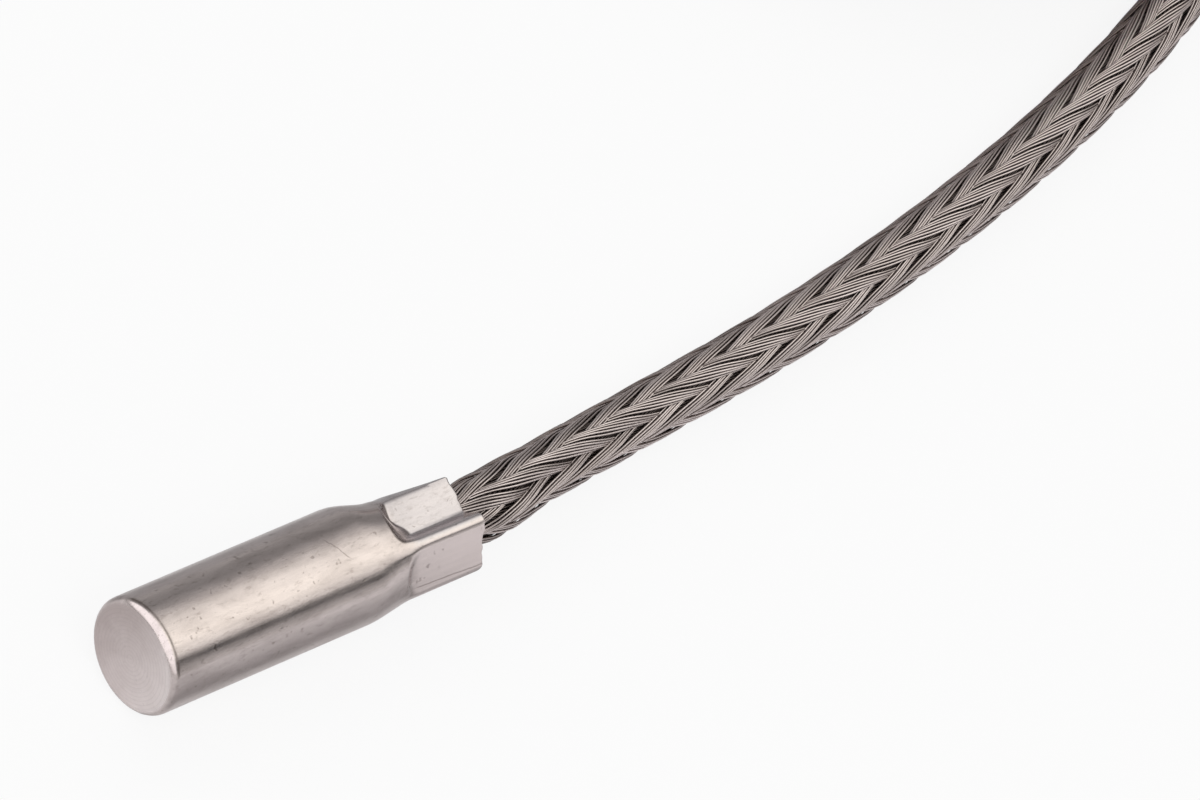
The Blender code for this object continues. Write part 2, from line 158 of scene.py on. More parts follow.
def mixColour(tree, share, first, second, blend="MIX"):
    node = addNode(tree, "ShaderNodeMix", data_type="RGBA", blend_type=blend)
    feed(tree, node.inputs["Factor"], share)
    feed(tree, node.inputs[6], first if isinstance(first, bpy.types.NodeSocket) else (*first, 1.0))
    feed(tree, node.inputs[7], second if isinstance(second, bpy.types.NodeSocket) else (*second, 1.0))
    return node.outputs[2]


def noise(tree, place, scale, detail=3.0, roughness=0.5, distortion=0.0):
    feeds = {"Vector": place, "Scale": scale, "Detail": detail}
    feeds.update({"Roughness": roughness, "Distortion": distortion})
    return fedNode(tree, "ShaderNodeTexNoise", feeds, noise_dimensions="3D").outputs["Fac"]


def partAround(tree, vector, degrees):
    return vectorCalc(tree, "DOT_PRODUCT", vector, tuple(aroundCapsule(degrees)))


def stretched(tree, place, sizes):
    return fedNode(tree, "ShaderNodeMapping", {"Vector": place, "Scale": sizes}).outputs["Vector"]


def objectPlace(tree):
    return addNode(tree, "ShaderNodeTexCoord").outputs["Object"]


def attributeValue(tree, name):
    return addNode(tree, "ShaderNodeAttribute", attribute_name=name).outputs["Fac"]


def bump(tree, height, strength, distance, normal=None):
    feeds = {"Strength": strength, "Distance": distance, "Height": height, "Normal": normal}
    return fedNode(tree, "ShaderNodeBump", feeds).outputs["Normal"]


def mixShaders(tree, share, first, second):
    node = addNode(tree, "ShaderNodeMixShader")
    for socket, value in zip(node.inputs, (share, first, second)):
        tree.links.new(value, socket)
    return node.outputs["Shader"]


def seenDirectly(tree, path):
    return calc(tree, "ADD", path["Is Camera Ray"], path["Is Transmission Ray"], clamp=True)


def useGroup(tree, group, **values):
    return fedNode(tree, "ShaderNodeGroup", values, node_tree=group).outputs


def startTree(family, name, inputs, outputs):
    tree = bpy.data.node_groups.new(name, family)
    for label, kind, value in inputs:
        socket = tree.interface.new_socket(label, in_out="INPUT", socket_type="NodeSocket" + kind)
        if value is not None:
            socket.default_value = value
    for label, kind in outputs:
        tree.interface.new_socket(label, in_out="OUTPUT", socket_type="NodeSocket" + kind)
    return tree, addNode(tree, "NodeGroupInput").outputs, addNode(tree, "NodeGroupOutput").inputs


# table, light and surroundings

studio = {
    "tableSize": 6.0,
    "tableLevel": -3.0,
    "tableColour": (0.80, 0.80, 0.80),
    "tableShade": (0.79, 0.79, 0.79),
    "whiteSeenByCamera": 0.88,
    # painted shade in the metal's reflections, standing in for the probe's contact shadow on the table:
    # the share of the table's brightness that the metal shows behind the probe, near it, in front of it,
    # right below it, in front of the lead and left of the closed end
    "paintedShadeInMetal": {"behind": 0.48, "near": 0.52, "front": 0.74, "below": 1.0, "lead": 1.0, "end": 0.94},
    # where one share passes into the next, in mm: across the table, counted from a line that bends
    # with the lead (from x, slope), or along the capsule
    "leadBend": (20.0, 0.16),
    "frontEdge": (-15.0, -3.0),
    "behindEdge": (1.0, 8.0),
    "belowEdges": ((-5.2, -3.0), (12.0, 4.5), (23.0, 19.0)),  # across in front, across behind, along
    "leadEdges": ((21.0, 34.0), (1.0, -3.0)),  # along, across
    "endEdge": (1.0, -2.0),
    "fillLevel": 0.50,
    "lamps": (
        # name, place in mm, size in m, power in watts
        ("key_lamp", (-260.0, -330.0, 560.0), 0.55, 2.4),
        ("back_lamp", (300.0, 520.0, 480.0), 0.60, 1.3),
    ),
    # angle round the capsule from straight at the camera towards the table's front, and the level there
    "tent": (
        (-180.0, 0.60),
        (-114.0, 0.40),
        (-92.0, 0.28),
        (-80.0, 0.25),
        (-68.0, 0.36),
        (-55.0, 0.67),
        (-40.0, 1.00),
        (-24.0, 1.18),
        (-5.0, 1.31),
        (8.0, 1.30),
        (20.0, 1.10),
        (29.0, 0.88),
        (34.0, 0.54),
        (37.5, 0.07),
        (43.0, 0.07),
        (47.5, 0.26),
        (56.0, 0.50),
        (66.0, 0.60),
        (90.0, 0.56),
        (180.0, 0.60),
    ),
    "tentStrength": 1.31,
    "warmth": (1.0, 1.0, 0.92),
    # by the direction's part along the capsule: the tent's dark edge (from, whole, whole to, to, depth)
    # and its white side (from, whole, level), both seen in the rounded end
    "darkEdge": (0.08, 0.24, 0.40, 0.52, 0.72),
    "whiteSide": (0.0, -0.14, 1.31),
    # its dark side towards the lead (from, whole, depth), the dark parts' colour, and how far up
    # the white side starts
    "darkSide": (0.80, 0.92, 0.8),
    "darkTone": (0.05, 0.04, 0.035),
    "skyline": (0.10, 0.22),
}


def makeTable(settings):
    size = settings["tableSize"] / 2
    level = settings["tableLevel"] * mm
    mesh = bpy.data.meshes.new("table_top")
    corners = [(-size, -size, level), (size, -size, level), (size, size, level), (-size, size, level)]
    mesh.from_pydata(corners, [], [(0, 1, 2, 3)])
    table = addObject("table_top", mesh)
    paint = bpy.data.materials.new("white_table")
    paint.use_nodes = True
    tree = paint.node_tree
    shader = tree.nodes["Principled BSDF"]
    place = objectPlace(tree)
    grain = spread(tree, noise(tree, place, 900.0, 4.0, 0.6), 0.3, 0.7, smooth=False)
    tone = mixColour(tree, grain, settings["tableShade"], settings["tableColour"])
    path = addNode(tree, "ShaderNodeLightPath").outputs

    # painted shade: for glossy rays the table is darkened near the probe and behind it, standing in for
    # the probe's contact shadow that the metal reflects
    x, y, z = partsOf(tree, place)
    shown = settings["paintedShadeInMetal"]
    bendStart, bendSlope = settings["leadBend"]
    pastBend = calc(tree, "MAXIMUM", calc(tree, "SUBTRACT", x, bendStart * mm), 0.0)
    aside = calc(tree, "SUBTRACT", y, calc(tree, "MULTIPLY", pastBend, bendSlope))
    level = edge(tree, aside, settings["frontEdge"], shown["front"], shown["near"])
    furtherBack = edge(tree, aside, settings["behindEdge"], 0.0, shown["behind"] - shown["near"])
    level = calc(tree, "ADD", level, furtherBack)
    across, behind, along = settings["belowEdges"]
    below = product(tree, edge(tree, aside, across), edge(tree, aside, behind), edge(tree, x, along))
    along, across = settings["leadEdges"]
    byLead = product(tree, edge(tree, x, along), edge(tree, aside, across))
    byEnd = edge(tree, x, settings["endEdge"])
    for share, wanted in ((below, shown["below"]), (byLead, shown["lead"]), (byEnd, shown["end"])):
        level = calc(tree, "MULTIPLY_ADD", share, calc(tree, "SUBTRACT", wanted, level), level)
    reflectedShade = product(tree, path["Is Glossy Ray"], calc(tree, "SUBTRACT", 1.0, level))
    tree.links.new(mixColour(tree, reflectedShade, tone, (0.0, 0.0, 0.0)), shader.inputs["Base Color"])
    shader.inputs["Roughness"].default_value = 0.9
    shader.inputs["Specular IOR Level"].default_value = 0.1
    glow = fedNode(tree, "ShaderNodeEmission", {"Strength": 1.0})
    seen = product(tree, seenDirectly(tree, path), settings["whiteSeenByCamera"])
    surface = mixShaders(tree, seen, shader.outputs["BSDF"], glow.outputs["Emission"])
    tree.links.new(surface, tree.nodes["Material Output"].inputs["Surface"])
    mesh.materials.append(paint)
    return table


def makeLamps(settings):
    lamps = []
    aim = Vector((35.0, 5.0, 0.0)) * mm
    for name, place, size, power in settings["lamps"]:
        data = bpy.data.lights.new(name, "AREA")
        data.shape = "SQUARE"
        data.size = size
        data.energy = power
        lamp = addObject(name, data)
        lamp.location = Vector(place) * mm
        lamp.rotation_euler = (aim - lamp.location).to_track_quat("-Z", "Y").to_euler()
        lamp.visible_glossy = False
        lamps.append(lamp)
    return lamps


def makeSurroundings(settings):
    world = bpy.data.worlds.new("light_tent")
    bpy.context.scene.world = world
    world.use_nodes = True
    tree = world.node_tree
    tree.nodes.clear()
    direction = addNode(tree, "ShaderNodeTexCoord").outputs["Generated"]
    angle = calc(tree, "ARCTAN2", partAround(tree, direction, 90), partAround(tree, direction, 0))
    ramp = addNode(tree, "ShaderNodeValToRGB")
    ramp.color_ramp.interpolation = "EASE"
    stops = settings["tent"]
    points = ramp.color_ramp.elements
    warm = settings["warmth"]
    for number, (degrees, level) in enumerate(stops):
        at = (degrees + 180.0) / 360.0
        point = points[number] if number < 2 else points.new(at)
        point.position = at
        lift = level / settings["tentStrength"]
        point.color = (*(lift * (1 + (warm[k] - 1) * lift) for k in range(3)), 1.0)
    tree.links.new(spread(tree, angle, -math.pi, math.pi, smooth=False), ramp.inputs["Fac"])
    along, across, up = partsOf(tree, direction)
    first, whole, ending, last, depth = settings["darkEdge"]
    darkness = product(tree, spread(tree, along, first, whole), spread(tree, along, last, ending))
    first, last, sideDepth = settings["darkSide"]
    darkSide = spread(tree, along, first, last, 0.0, sideDepth)
    darkness = calc(tree, "MULTIPLY_ADD", darkness, depth, darkSide)
    tone = mixColour(tree, darkness, ramp.outputs["Color"], settings["darkTone"])
    first, whole, level = settings["whiteSide"]
    side = product(tree, spread(tree, along, first, whole), spread(tree, up, *settings["skyline"]))
    tone = mixColour(tree, side, tone, (level / settings["tentStrength"],) * 3)

    def backdrop(colour, strength):
        feeds = {"Color": colour, "Strength": strength}
        return fedNode(tree, "ShaderNodeBackground", feeds).outputs["Background"]

    path = addNode(tree, "ShaderNodeLightPath").outputs
    white = (1.0, 1.0, 1.0, 1.0)
    tent = backdrop(tone, settings["tentStrength"])
    lit = mixShaders(tree, path["Is Glossy Ray"], backdrop(white, settings["fillLevel"]), tent)
    seen = mixShaders(tree, seenDirectly(tree, path), lit, backdrop(white, 1.0))
    fedNode(tree, "ShaderNodeOutputWorld", {"Surface": seen})


makeTable(studio)
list(makeLamps(studio))
makeSurroundings(studio)
print("table and light made")


# shader groups shared by several materials

fineDepth = 0.01 * mm  # how deep scratches, pits and fine grain go
threadDepth = 0.04 * mm  # the same for woven threads and the cement's grains


def makeHandlingWear():
    tree, given, made = startTree(
        "ShaderNodeTree",
        "handling_wear",
        (("Place", "Vector", None), ("Grain", "Float", 1.0), ("Depth", "Float", 0.5)),
        (("Smudge", "Float"), ("Pits", "Float"), ("Normal", "Vector")),
    )
    place = vectorCalc(tree, "SCALE", given["Place"], scale=given["Grain"])
    smudge = noise(tree, place, 420.0, 4.0, 0.6, 0.6)
    spots = noise(tree, place, 2600.0, 2.0, 0.5)
    pits = spread(tree, spots, 0.66, 0.74)
    fine = noise(tree, place, 9000.0, 3.0, 0.6)
    height = calc(tree, "MULTIPLY_ADD", pits, -1.4, fine)
    tree.links.new(spread(tree, smudge, 0.35, 0.68), made["Smudge"])
    tree.links.new(pits, made["Pits"])
    tree.links.new(bump(tree, height, given["Depth"], fineDepth), made["Normal"])
    return tree


def makeFibreWeave():
    tree, given, made = startTree(
        "ShaderNodeTree",
        "fibre_weave",
        (("Place", "Vector", None), ("Pitch", "Float", 0.0004)),
        (("Threads", "Float"), ("Fuzz", "Float")),
    )
    perTurn = calc(tree, "DIVIDE", math.tau, given["Pitch"])
    counted = vectorCalc(tree, "SCALE", given["Place"], scale=perTurn)
    along, across, up = partsOf(tree, counted)
    crossed = calc(tree, "ADD", across, up)
    first = calc(tree, "SINE", calc(tree, "ADD", along, crossed))
    second = calc(tree, "SINE", calc(tree, "SUBTRACT", along, crossed))
    tree.links.new(spread(tree, calc(tree, "MAXIMUM", first, second), -0.2, 1.0), made["Threads"])
    tree.links.new(noise(tree, given["Place"], 6000.0, 3.0, 0.7), made["Fuzz"])
    return tree


handlingWear = makeHandlingWear()
fibreWeave = makeFibreWeave()


def newMaterial(name, roughness=0.5, metallic=0.0):
    material = bpy.data.materials.new(name)
    material.use_nodes = True
    shader = material.node_tree.nodes["Principled BSDF"]
    shader.inputs["Roughness"].default_value = roughness
    shader.inputs["Metallic"].default_value = metallic
    return material, material.node_tree, shader.inputs


# materials

capsuleFinish = {
    "bright": (0.75, 0.66, 0.65),
    "dull": (0.58, 0.505, 0.495),
    "pit": (0.27, 0.22, 0.205),
    "endTone": (0.90, 0.82, 0.81),
    "endShade": (0.56, 0.48, 0.47),
    "pressed": (0.75, 0.70, 0.73),
    "flat": (0.90, 0.79, 0.78),
    # in mm: where the closed end's look and the crimp's start and are whole along the capsule, the same
    # for the large flat by its distance from the middle line, and for the end's shading down across it
    "endEdge": (0.16, 0.04),
    "pressedEdge": (15.7, 16.4),
    "flatEdge": (2.25, 2.42),
    "endShading": (-2.1, 2.3),
    # a scored line on the flat: where it starts, how far down it lies there, its slope and half its
    # width, in mm
    "scored": (16.0, 0.90, 0.035, 0.06),
    # a short cross scratch: its middle along the capsule and downwards, half its length and half its
    # width, in mm, and its slant
    "scratch": (11.6, -0.95, 0.75, 0.045, 0.55),
    "polish": 0.12,
    "satin": 0.25,
    "endSatin": 0.34,
    "pressedSatin": 0.26,
    "turningPitch": 0.21,
}


def capsuleSteel(look):
    material, tree, shader = newMaterial("capsule_steel", look["polish"], 1.0)
    place = objectPlace(tree)
    wear = useGroup(tree, handlingWear, Place=place, Grain=1.0, Depth=0.25)
    drawn = noise(tree, stretched(tree, place, (0.045, 1.0, 1.0)), 5200.0, 4.0, 0.65)
    patches = noise(tree, stretched(tree, place, (0.35, 1.0, 1.0)), 900.0, 5.0, 0.6, 0.4)
    mottle = noise(tree, stretched(tree, place, (0.4, 1.0, 1.0)), 4200.0, 4.0, 0.7, 0.3)
    x, y, z = partsOf(tree, place)
    lower = partAround(tree, place, 90)
    onEnd = edge(tree, x, look["endEdge"])
    pressed = edge(tree, x, look["pressedEdge"])
    onFlat = edge(tree, partAround(tree, place, flatTurn), look["flatEdge"])

    # rings left by turning on the closed end
    fromAxis = calc(tree, "SQRT", calc(tree, "ADD", product(tree, y, y), product(tree, z, z)))
    wandering = calc(tree, "MULTIPLY_ADD", noise(tree, place, 500.0, 2.0), 0.08 * mm, fromAxis)
    turned = calc(tree, "SINE", product(tree, wandering, math.tau / (look["turningPitch"] * mm)))
    turned = product(tree, turned, onEnd)

    # the cross scratch on the body and the scored line on the flat
    middle, level, reach, width = (value * mm for value in look["scratch"][:4])
    down = calc(tree, "SUBTRACT", lower, level)
    line = calc(tree, "MULTIPLY_ADD", down, look["scratch"][4], calc(tree, "SUBTRACT", middle, x))
    line = calc(tree, "ABSOLUTE", roughened(tree, line, mottle, 0.35))
    scratch = product(
        tree,
        spread(tree, line, width, 0.2 * width),
        spread(tree, calc(tree, "ABSOLUTE", down), reach, 0.7 * reach),
        edge(tree, z, (0.0, 1.0)),
    )
    start, offset, slope, half = look["scored"]
    wanted = calc(tree, "MULTIPLY_ADD", x, slope, (offset - start * slope) * mm)
    line = calc(tree, "SUBTRACT", partAround(tree, place, flatTurn + 90), wanted)
    line = calc(tree, "ABSOLUTE", roughened(tree, line, patches, 0.25))
    scored = product(tree, edge(tree, line, (half, 0.3 * half)), onFlat, pressed)
    scratch = calc(tree, "MAXIMUM", scratch, scored)

    tone = mixColour(tree, spread(tree, patches, 0.35, 0.75), look["bright"], look["dull"])
    tone = mixColour(tree, spread(tree, mottle, 0.52, 0.78, 0.0, 0.45), tone, look["pit"])
    bare = mixColour(tree, spread(tree, mottle, 0.46, 0.74, 0.0, 0.34), look["pressed"], look["pit"])
    bare = mixColour(tree, onFlat, bare, look["flat"])
    tone = mixColour(tree, product(tree, pressed, 0.75), tone, bare)
    # painted shading on the closed end: darker at its top and lighter towards its bottom, as light falls
    # on it, broken up by patches
    lit = roughened(tree, roughened(tree, lower, patches, 2.4), mottle, 1.4)
    lit = spread(tree, lit, *(limit * mm for limit in look["endShading"]), smooth=False)
    face = mixColour(tree, lit, look["endShade"], look["endTone"])
    face = mixColour(tree, spread(tree, turned, 0.2, 1.0, 0.0, 0.07), face, look["pit"])
    tone = mixColour(tree, onEnd, tone, face)
    pits = product(tree, wear["Pits"], calc(tree, "MULTIPLY_ADD", onEnd, -0.4, 0.5))
    tone = mixColour(tree, pits, tone, look["pit"])
    tone = mixColour(tree, product(tree, scratch, 0.55), tone, look["pit"])
    tree.links.new(tone, shader["Base Color"])
    rough = spread(tree, drawn, 0.3, 0.75, look["polish"], look["satin"], smooth=False)
    rough = calc(tree, "MULTIPLY_ADD", wear["Smudge"], 0.05, rough)
    for share, satin in ((onEnd, look["endSatin"]), (pressed, look["pressedSatin"])):
        rough = calc(tree, "MAXIMUM", rough, product(tree, share, satin))
    tree.links.new(rough, shader["Roughness"])
    height = calc(tree, "MULTIPLY_ADD", turned, 0.5, calc(tree, "MULTIPLY_ADD", patches, 0.7, drawn))
    height = calc(tree, "SUBTRACT", calc(tree, "MULTIPLY_ADD", mottle, 0.5, height), scratch)
    tree.links.new(bump(tree, height, 0.22, fineDepth, wear["Normal"]), shader["Normal"])
    return material


braidFinish = {
    "bright": (1.0, 0.89, 0.885),
    "grey": (0.70, 0.615, 0.605),
    # colour of the painted shade on wires lying underneath and in the ribbons' grooves
    "shade": (0.055, 0.038, 0.034),
    # colour of the painted shade on the sides of each wire
    "paintedSideShade": (0.14, 0.105, 0.10),
    "roughness": (0.22, 0.38),
    "wiresAcross": 5,
}


def wireSteel(name, look, roughness, depth):
    material, tree, shader = newMaterial(name, roughness, 1.0)
    wear = useGroup(tree, handlingWear, Place=objectPlace(tree), Grain=1.3, Depth=depth)
    tone = attributeValue(tree, "wire_tone")
    colour = mixColour(tree, spread(tree, tone, 0.1, 0.9, smooth=False), look["grey"], look["bright"])
    return material, tree, shader, wear, tone, colour


def shadeByLayer(tree, shader, look, colour):
    depth = attributeValue(tree, "layer_depth")
    # painted shade: wires lying under the crossing carriers are darkened towards the shade colour
    colour = mixColour(tree, spread(tree, depth, 0.1, -0.9, 0.0, 0.85), colour, look["shade"])
    tree.links.new(colour, shader["Base Color"])


def braidSteel(look):
    material, tree, shader, wear, tone, colour = wireSteel("braid_steel", look, 0.32, 0.3)
    paintedSideShade = calc(tree, "ABSOLUTE", attributeValue(tree, "across_ribbon"))
    colour = mixColour(tree, product(tree, wear["Smudge"], 0.3), colour, look["grey"])
    # painted shade: each wire is darkened towards its sides, standing in for the shade between
    # neighbouring wires
    colour = mixColour(tree, spread(tree, paintedSideShade, 0.16, 0.42, 0.0, 0.85), colour, look["paintedSideShade"])
    shadeByLayer(tree, shader, look, colour)
    tree.links.new(spread(tree, tone, 0.0, 1.0, *look["roughness"], smooth=False), shader["Roughness"])
    tree.links.new(wear["Normal"], shader["Normal"])
    return material


def ribbonSteel(look):
    material, tree, shader, wear, tone, colour = wireSteel("ribbon_steel", look, 0.34, 0.25)
    counted = product(tree, attributeValue(tree, "across_ribbon"), math.pi * look["wiresAcross"])
    grooves = calc(tree, "ABSOLUTE", calc(tree, "COSINE", counted))
    # painted shade in the grooves between the wires drawn on each ribbon
    colour = mixColour(tree, spread(tree, grooves, 0.55, 0.0, 0.0, 0.8), colour, look["shade"])
    shadeByLayer(tree, shader, look, colour)
    tree.links.new(bump(tree, grooves, 0.6, 0.05 * mm, wear["Normal"]), shader["Normal"])
    return material


def coreShade():
    # painted shade: the core under the braid is coloured near black, standing in for the deep shade seen
    # in the gaps between the wires
    material, tree, shader = newMaterial("lead_core_painted_shade", 0.85)
    weave = useGroup(tree, fibreWeave, Place=objectPlace(tree), Pitch=0.0005)
    colour = mixColour(tree, weave["Threads"], (0.020, 0.014, 0.012), (0.05, 0.036, 0.031))
    tree.links.new(mixColour(tree, weave["Fuzz"], colour, (0.03, 0.021, 0.018)), shader["Base Color"])
    return material


def glassFibre(name, dark, light, pitch):
    material, tree, shader = newMaterial(name, 0.7)
    weave = useGroup(tree, fibreWeave, Place=objectPlace(tree), Pitch=pitch)
    colour = mixColour(tree, weave["Threads"], dark, light)
    colour = mixColour(tree, product(tree, weave["Fuzz"], 0.35), colour, dark)
    tree.links.new(colour, shader["Base Color"])
    tree.links.new(bump(tree, weave["Threads"], 0.5, threadDepth), shader["Normal"])
    return material


def wearDown(tree, shader, wear, colour, roughness):
    tree.links.new(colour, shader["Base Color"])
    tree.links.new(calc(tree, "MULTIPLY_ADD", wear["Smudge"], 0.12, roughness), shader["Roughness"])
    tree.links.new(wear["Normal"], shader["Normal"])


def wornMetal(name, bright, dull, roughness):
    material, tree, shader = newMaterial(name, roughness, 1.0)
    place = objectPlace(tree)
    wear = useGroup(tree, handlingWear, Place=place, Grain=2.0, Depth=0.4)
    drawn = noise(tree, place, 7000.0, 3.0, 0.6)
    colour = mixColour(tree, spread(tree, drawn, 0.35, 0.7), bright, dull)
    wearDown(tree, shader, wear, mixColour(tree, wear["Pits"], colour, dull), roughness)
    return material


def softPlastic(name, colour, shade, roughness, grain):
    material, tree, shader = newMaterial(name, roughness)
    wear = useGroup(tree, handlingWear, Place=objectPlace(tree), Grain=grain, Depth=0.35)
    wearDown(tree, shader, wear, mixColour(tree, wear["Smudge"], colour, shade), roughness)
    return material


def firedCement():
    material, tree, shader = newMaterial("fired_cement", 0.9)
    place = objectPlace(tree)
    grains = noise(tree, place, 2500.0, 6.0, 0.7)
    pores = spread(tree, noise(tree, place, 5200.0, 2.0), 0.64, 0.72)
    colour = mixColour(tree, grains, (0.66, 0.63, 0.56), (0.84, 0.82, 0.77))
    tree.links.new(mixColour(tree, pores, colour, (0.35, 0.32, 0.28)), shader["Base Color"])
    height = calc(tree, "SUBTRACT", grains, pores)
    tree.links.new(bump(tree, height, 0.6, threadDepth), shader["Normal"])
    return material


finishes = {
    "capsule": capsuleSteel(capsuleFinish),
    "braid": braidSteel(braidFinish),
    "ribbon": ribbonSteel(braidFinish),
    "core": coreShade(),
    "cement": firedCement(),
    "glass": glassFibre("glass_fibre", (0.60, 0.57, 0.50), (0.88, 0.86, 0.80), 0.0003),
    "greenTail": glassFibre("green_varnished_fibre", (0.02, 0.15, 0.06), (0.06, 0.34, 0.14), 0.00028),
    "whiteTail": glassFibre("white_varnished_fibre", (0.58, 0.56, 0.52), (0.88, 0.87, 0.83), 0.00028),
    "junction": wornMetal("fused_junction", (0.44, 0.41, 0.38), (0.22, 0.20, 0.19), 0.42),
    "positive": wornMetal("nickel_chromium", (0.58, 0.54, 0.49), (0.40, 0.36, 0.33), 0.32),
    "negative": wornMetal("nickel_aluminium", (0.54, 0.53, 0.52), (0.36, 0.35, 0.34), 0.30),
    "tie": softPlastic("tie_nylon", (0.80, 0.80, 0.76), (0.70, 0.70, 0.66), 0.42, 0.6),
    "sleeve": softPlastic("shrunk_sleeve", (0.022, 0.022, 0.023), (0.05, 0.05, 0.05), 0.42, 0.8),
}
print("materials made")


# shared mesh helpers

def smoothStep(value):
    value = min(max(value, 0.0), 1.0)
    return value * value * (3 - 2 * value)


def curveThrough(a, b, c, d, t):
    bend = 2 * b + (c - a) * t + (2 * a - 5 * b + 4 * c - d) * t**2 + (3 * b - a - 3 * c + d) * t**3
    return bend / 2


def addPiece(name, mesh, finish, replaced):
    mesh.materials.clear()
    mesh.materials.append(finishes[finish])
    piece = addObject(name, mesh)
    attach(piece, "root")
    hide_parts(*replaced)
    return piece


def loftMesh(name, rings, closed=False):
    shape = bmesh.new()
    rows = [[shape.verts.new(point) for point in ring] for ring in rings]
    pairs = list(zip(rows, rows[1:])) + ([(rows[-1], rows[0])] if closed else [])
    for row, following in pairs:
        count = len(row)
        for i in range(count):
            j = (i + 1) % count
            shape.faces.new((row[i], row[j], following[j], following[i]))
    if not closed:
        shape.faces.new(rows[0])
        shape.faces.new(rows[-1])
    bmesh.ops.recalc_face_normals(shape, faces=shape.faces)
    mesh = bpy.data.meshes.new(name)
    shape.to_mesh(mesh)
    shape.free()
    mesh.shade_smooth()
    return mesh


# capsule

capsuleForm = {
    "radius": 3.0,
    "length": 20.4,
    "fillet": 0.55,
    "shoulder": (13.4, 16.1),
    "crimpStart": 17.0,
    "flatDistance": (2.45, 2.48),
    "innerRadius": 1.6,
    "wall": 0.4,
    "rim": 0.16,
    # angle from the flat's middle at the crimp's start, radii at the shoulder's end and the crimp's
    # start, then angle and radius at the mouth
    "outline": (
        (27.0, 2.76, 2.75, 26.0, 2.76),
        (31.0, 2.76, 2.79, 30.0, 2.80),
        (35.5, 2.75, 2.76, 34.5, 2.77),
        (38.5, 2.74, 2.66, 37.5, 2.67),
        (40.5, 2.74, 2.40, 39.5, 2.40),
        (42.5, 2.73, 2.08, 41.5, 2.06),
        (45.0, 2.72, 1.84, 44.0, 1.78),
        (48.5, 2.71, 1.75, 47.0, 1.65),
        (54.0, 2.69, 1.73, 52.0, 1.59),
        (60.0, 2.67, 1.75, 58.0, 1.59),
        (68.0, 2.65, 1.79, 65.0, 1.62),
        (79.0, 2.61, 1.92, 76.5, 1.75),
        (90.0, 2.57, 2.16, 89.0, 2.03),
        (100.0, 2.53, 2.46, 99.5, 2.42),
        (106.0, 2.51, 2.48, 106.0, 2.34),
        (113.0, 2.49, 2.44, 113.0, 2.22),
        (125.0, 2.46, 2.40, 125.0, 2.12),
        (145.0, 2.44, 2.38, 145.0, 2.12),
        (162.0, 2.44, 2.38, 162.0, 2.18),
        (180.0, 2.44, 2.38, 180.0, 2.22),
    ),
    # angle from the flat's middle, then where the dies' mark starts and is whole, in mm along the capsule
    "pressMarks": (
        (0.0, 15.20, 15.80),
        (10.0, 15.25, 15.85),
        (20.0, 15.40, 16.10),
        (28.0, 15.55, 16.60),
        (35.0, 15.45, 16.70),
        (41.0, 15.20, 16.75),
        (47.0, 15.00, 16.80),
        (54.0, 14.95, 16.78),
        (60.0, 14.98, 16.65),
        (66.0, 15.05, 16.45),
        (73.0, 15.15, 16.22),
        (80.0, 15.30, 16.05),
        (90.0, 15.55, 16.15),
        (100.0, 15.90, 16.45),
        (112.0, 15.95, 16.50),
        (180.0, 15.95, 16.40),
    ),
    "flatEnds": (27.0, 26.0),
    # how uneven the mouth's edge is, in waves round it: height, count and lag
    "ragged": 0.045,
    "waves": ((1.0, 7, 0), (0.7, 17, 1), (0.5, 31, 2)),
    "finer": 3,
    # rings outside, past the fillet: from, to and how many, closest where the dies' marks end
    "rings": ((0.7, 13.4, 14), (13.515, 14.55, 10), (14.6, 17.5, 57), (17.6, 20.3, 11)),
}


def halfOutline(form):
    near, far = form["flatDistance"]
    rows = []
    for share in (0.0, 0.33, 0.66, 0.88):
        start, mouth = (angle * share for angle in form["flatEnds"])
        shoulder = 2.62 + 0.12 * smoothStep(share * 1.1)
        crimp, end = near / math.cos(math.radians(start)), far / math.cos(math.radians(mouth))
        rows.append((start, shoulder, crimp, mouth, end))
    rows += form["outline"]
    rows = np.array(rows)
    mirrored = rows[-2:-1].copy()
    mirrored[:, (0, 3)] = 360.0 - mirrored[:, (0, 3)]
    before = rows[1:2].copy()
    before[:, (0, 3)] *= -1
    knots = np.vstack([before, rows, mirrored])
    fine = []
    for first in range(len(rows) - 1):
        a, b, c, d = knots[first : first + 4]
        for t in np.linspace(0, 1, form["finer"] + 1)[:-1]:
            fine.append(0.5 * curveThrough(a, b, c, d, t) + 0.5 * (b + (c - b) * t))
    fine.append(rows[-1])
    return np.array(fine)


